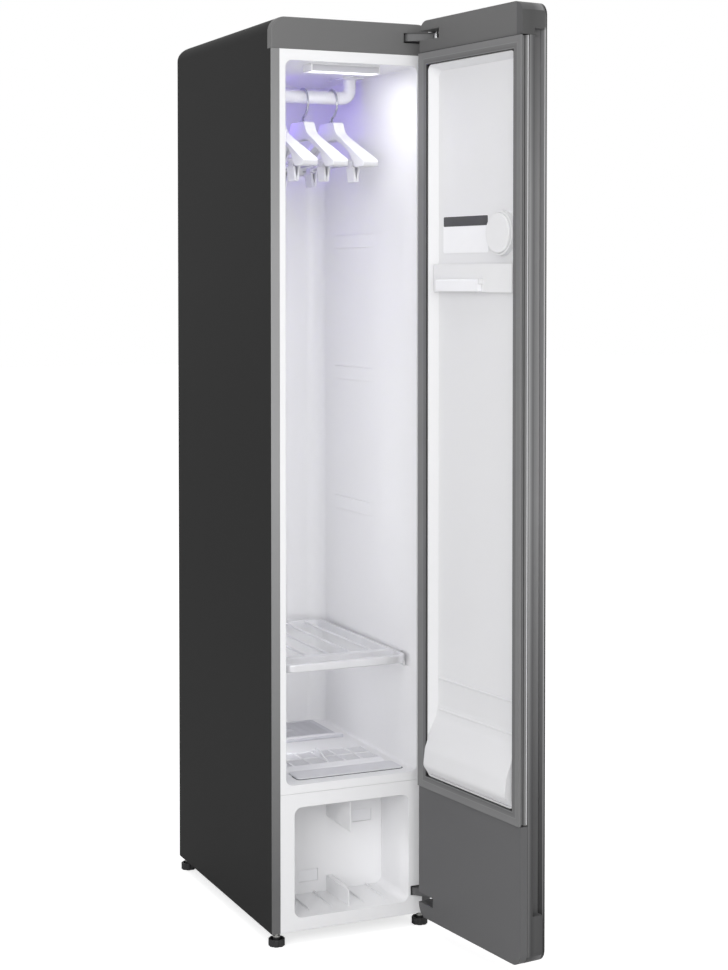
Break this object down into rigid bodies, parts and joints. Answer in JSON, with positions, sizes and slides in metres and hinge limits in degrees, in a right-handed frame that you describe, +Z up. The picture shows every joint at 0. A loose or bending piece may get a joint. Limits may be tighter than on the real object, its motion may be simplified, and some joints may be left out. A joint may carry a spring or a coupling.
{
  "type": "clothes care steam cabinet",
  "caption": "Tall, slim steam cabinet for refreshing clothes: hinged door, white cavity with hanger rail and shelf, tank bay below.",
  "frame": {"origin": "centre of the sole of the front left levelling foot", "axes": "+Z up; the cabinet faces -Y; +X from the left side to the hinge side"},
  "size_m": [0.405, 0.959, 1.85],
  "materials": {
    "charcoal_steel": "satin",
    "rear_steel": "satin",
    "zinc_steel": "satin",
    "grey_plastic": "satin",
    "silver_trim": "satin",
    "white_liner": "satin",
    "white_plastic": "satin",
    "frosted_lens": "satin",
    "satin_steel": "satin",
    "chrome_wire": "polished",
    "rail_paint": "satin",
    "hinge_casting": "satin",
    "bright_pin": "polished",
    "bush_plastic": "satin",
    "door_glass": "gloss",
    "door_edge": "satin",
    "cover_plastic": "satin",
    "gasket_rubber": "matte",
    "foam": "matte",
    "circuit_board": "satin",
    "duct_plastic": "matte",
    "finned_aluminium": "satin",
    "compressor_paint": "satin",
    "boiler_alloy": "satin",
    "motor_steel": "satin",
    "drive_plastic": "matte",
    "foot_plastic": "matte"
  },
  "bodies": {
    "cabinet": {"outer_wrap": "charcoal_steel", "back_panel": "rear_steel", "base_pan": "zinc_steel", "front_cap": "grey_plastic", "front_trim": "silver_trim", "cavity_liner": "white_liner", "tank_bay": "white_liner", "water_couplings": "white_plastic", "outlet_grille": "white_plastic", "lamp_housing": "white_plastic", "lamp_lens": "frosted_lens", "rail_guides": "drive_plastic", "drive_motor": "motor_steel", "air_duct": "duct_plastic", "heat_exchangers": "finned_aluminium", "blower_scroll": "duct_plastic", "blower_motor": "motor_steel", "compressor": "compressor_paint", "steam_generator": "boiler_alloy", "water_pump": "drive_plastic", "control_board": "circuit_board", "hinge_brackets": "hinge_casting", "hinge_pins": "bright_pin"},
    "door": {"door_panel": "door_glass", "door_ring": "door_edge", "door_cap": "grey_plastic", "lower_cover": "cover_plastic", "foam_core": "foam", "door_liner": "white_liner", "door_gasket": "gasket_rubber", "display_board": "circuit_board", "hinge_bushes": "bush_plastic", "cap_ring": "white_plastic", "clamp_bar": "white_plastic"},
    "twist_cap": {"twist_cap": "white_plastic"},
    "clamp_lever": {"clamp_lever": "white_plastic"},
    "rail": {"hanger_rail": "rail_paint", "rail_carriage": "drive_plastic"},
    "crank": {"drive_crank": "drive_plastic"},
    "blower": {"blower_wheel": "duct_plastic"},
    "shelf": {"shelf": "satin_steel"},
    "lint_filter": {"lint_filter": "white_plastic"},
    "aroma_tray": {"aroma_tray": "white_plastic"},
    "hanger_1": {"hanger_1_body": "white_plastic", "hanger_1_wires": "chrome_wire"},
    "hanger_1_front_jaw": {"hanger_1_front_jaw": "white_plastic"},
    "hanger_1_back_jaw": {"hanger_1_back_jaw": "white_plastic"},
    "hanger_2": {"hanger_2_body": "white_plastic", "hanger_2_wires": "chrome_wire"},
    "hanger_2_front_jaw": {"hanger_2_front_jaw": "white_plastic"},
    "hanger_2_back_jaw": {"hanger_2_back_jaw": "white_plastic"},
    "hanger_3": {"hanger_3_body": "white_plastic", "hanger_3_wires": "chrome_wire"},
    "hanger_3_front_jaw": {"hanger_3_front_jaw": "white_plastic"},
    "hanger_3_back_jaw": {"hanger_3_back_jaw": "white_plastic"},
    "foot_front_left": {"foot_front_left": "foot_plastic"},
    "foot_front_right": {"foot_front_right": "foot_plastic"},
    "foot_back_left": {"foot_back_left": "foot_plastic"},
    "foot_back_right": {"foot_back_right": "foot_plastic"}
  },
  "joints": [
    {"name": "door_hinge", "type": "hinge", "parent": "cabinet", "child": "door", "pos_m": [0.327, -0.057, 0.075], "axis": [0, 0, 1], "range_deg": [-97, 18]},
    {"name": "rail_shuttle", "type": "slide", "parent": "cabinet", "child": "rail", "axis": [1, 0, 0], "range_m": [-0.006, 0.006]},
    {"name": "crank_spin", "type": "hinge", "parent": "cabinet", "child": "crank", "pos_m": [0.159, 0.29, 1.798], "axis": [0, 0, 1], "continuous": true},
    {"name": "blower_spin", "type": "hinge", "parent": "cabinet", "child": "blower", "pos_m": [0.095, 0.404, 0.17], "axis": [1, 0, 0], "continuous": true},
    {"name": "shelf_lift", "type": "slide", "parent": "cabinet", "child": "shelf", "axis": [0, 0, 1], "range_m": [0, 0.06]},
    {"name": "filter_lift", "type": "slide", "parent": "cabinet", "child": "lint_filter", "axis": [0, 0, 1], "range_m": [0, 0.12]},
    {"name": "tray_lift", "type": "slide", "parent": "cabinet", "child": "aroma_tray", "axis": [0, 0, 1], "range_m": [0, 0.1]},
    {"name": "cap_twist", "type": "hinge", "parent": "door", "child": "twist_cap", "pos_m": [0.3407, -0.31626, 1.42], "axis": [-0.9925, -0.1219, 0], "range_deg": [0, 45]},
    {"name": "lever_open", "type": "hinge", "parent": "door", "child": "clamp_lever", "pos_m": [0.30648, -0.19352, 1.328], "axis": [-0.1219, 0.9925, 0], "range_deg": [0, 60]},
    {"name": "foot_front_left_turn", "type": "hinge", "parent": "cabinet", "child": "foot_front_left", "pos_m": [0, 0, 0], "axis": [0, 0, 1], "continuous": true},
    {"name": "foot_front_right_turn", "type": "hinge", "parent": "cabinet", "child": "foot_front_right", "pos_m": [0.318, 0, 0], "axis": [0, 0, 1], "continuous": true},
    {"name": "foot_back_left_turn", "type": "hinge", "parent": "cabinet", "child": "foot_back_left", "pos_m": [0, 0.54, 0], "axis": [0, 0, 1], "continuous": true},
    {"name": "foot_back_right_turn", "type": "hinge", "parent": "cabinet", "child": "foot_back_right", "pos_m": [0.318, 0.54, 0], "axis": [0, 0, 1], "continuous": true},
    {"name": "hanger_1_rock", "type": "hinge", "parent": "rail", "child": "hanger_1", "pos_m": [0.092, 0.246, 1.721], "axis": [1, 0, 0], "range_deg": [-8, 8]},
    {"name": "hanger_1_front_clip", "type": "hinge", "parent": "hanger_1", "child": "hanger_1_front_jaw", "pos_m": [0.092, 0.132, 1.5715], "axis": [0, 1, 0], "range_deg": [0, 18], "stiffness_Nm_per_rad": 0.2, "springref_deg": -20.05},
    {"name": "hanger_1_back_clip", "type": "hinge", "parent": "hanger_1", "child": "hanger_1_back_jaw", "pos_m": [0.092, 0.36, 1.5715], "axis": [0, 1, 0], "range_deg": [0, 18], "stiffness_Nm_per_rad": 0.2, "springref_deg": -20.05},
    {"name": "hanger_2_rock", "type": "hinge", "parent": "rail", "child": "hanger_2", "pos_m": [0.159, 0.246, 1.721], "axis": [1, 0, 0], "range_deg": [-8, 8]},
    {"name": "hanger_2_front_clip", "type": "hinge", "parent": "hanger_2", "child": "hanger_2_front_jaw", "pos_m": [0.159, 0.132, 1.5715], "axis": [0, 1, 0], "range_deg": [0, 18], "stiffness_Nm_per_rad": 0.2, "springref_deg": -20.05},
    {"name": "hanger_2_back_clip", "type": "hinge", "parent": "hanger_2", "child": "hanger_2_back_jaw", "pos_m": [0.159, 0.36, 1.5715], "axis": [0, 1, 0], "range_deg": [0, 18], "stiffness_Nm_per_rad": 0.2, "springref_deg": -20.05},
    {"name": "hanger_3_rock", "type": "hinge", "parent": "rail", "child": "hanger_3", "pos_m": [0.226, 0.246, 1.721], "axis": [1, 0, 0], "range_deg": [-8, 8]},
    {"name": "hanger_3_front_clip", "type": "hinge", "parent": "hanger_3", "child": "hanger_3_front_jaw", "pos_m": [0.226, 0.132, 1.5715], "axis": [0, 1, 0], "range_deg": [0, 18], "stiffness_Nm_per_rad": 0.2, "springref_deg": -20.05},
    {"name": "hanger_3_back_clip", "type": "hinge", "parent": "hanger_3", "child": "hanger_3_back_jaw", "pos_m": [0.226, 0.36, 1.5715], "axis": [0, 1, 0], "range_deg": [0, 18], "stiffness_Nm_per_rad": 0.2, "springref_deg": -20.05}
  ]
}
